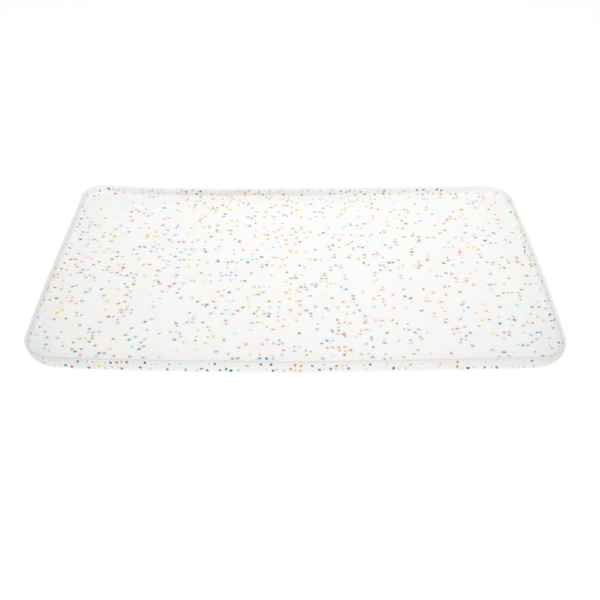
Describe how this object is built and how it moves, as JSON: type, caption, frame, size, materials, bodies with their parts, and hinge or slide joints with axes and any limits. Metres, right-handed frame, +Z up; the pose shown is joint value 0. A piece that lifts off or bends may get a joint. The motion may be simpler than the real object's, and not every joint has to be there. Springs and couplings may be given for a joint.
{
  "type": "raised-edge silicone mat",
  "caption": "Shallow rectangular tray mat in milky translucent silicone, with a low upright rim, rounded corners and small coloured chips cast into it.",
  "frame": {"origin": "centre of the flat underside that the mat rests on", "axes": "+X along the width to the right, +Y along the depth from the front edge to the rear, +Z up out of the tray"},
  "size_m": [0.6101, 0.4062, 0.015],
  "materials": {
    "silicone": "milky translucent silicone, satin",
    "chip_red": "matt, cast in",
    "chip_pink": "matt, cast in",
    "chip_amber": "matt, cast in",
    "chip_green": "matt, cast in",
    "chip_teal": "matt, cast in",
    "chip_blue": "matt, cast in"
  },
  "bodies": {
    "mat": {"mat_body": "silicone", "red_chips": "chip_red", "pink_chips": "chip_pink", "amber_chips": "chip_amber", "green_chips": "chip_green", "teal_chips": "chip_teal", "blue_chips": "chip_blue"}
  },
  "joints": []
}
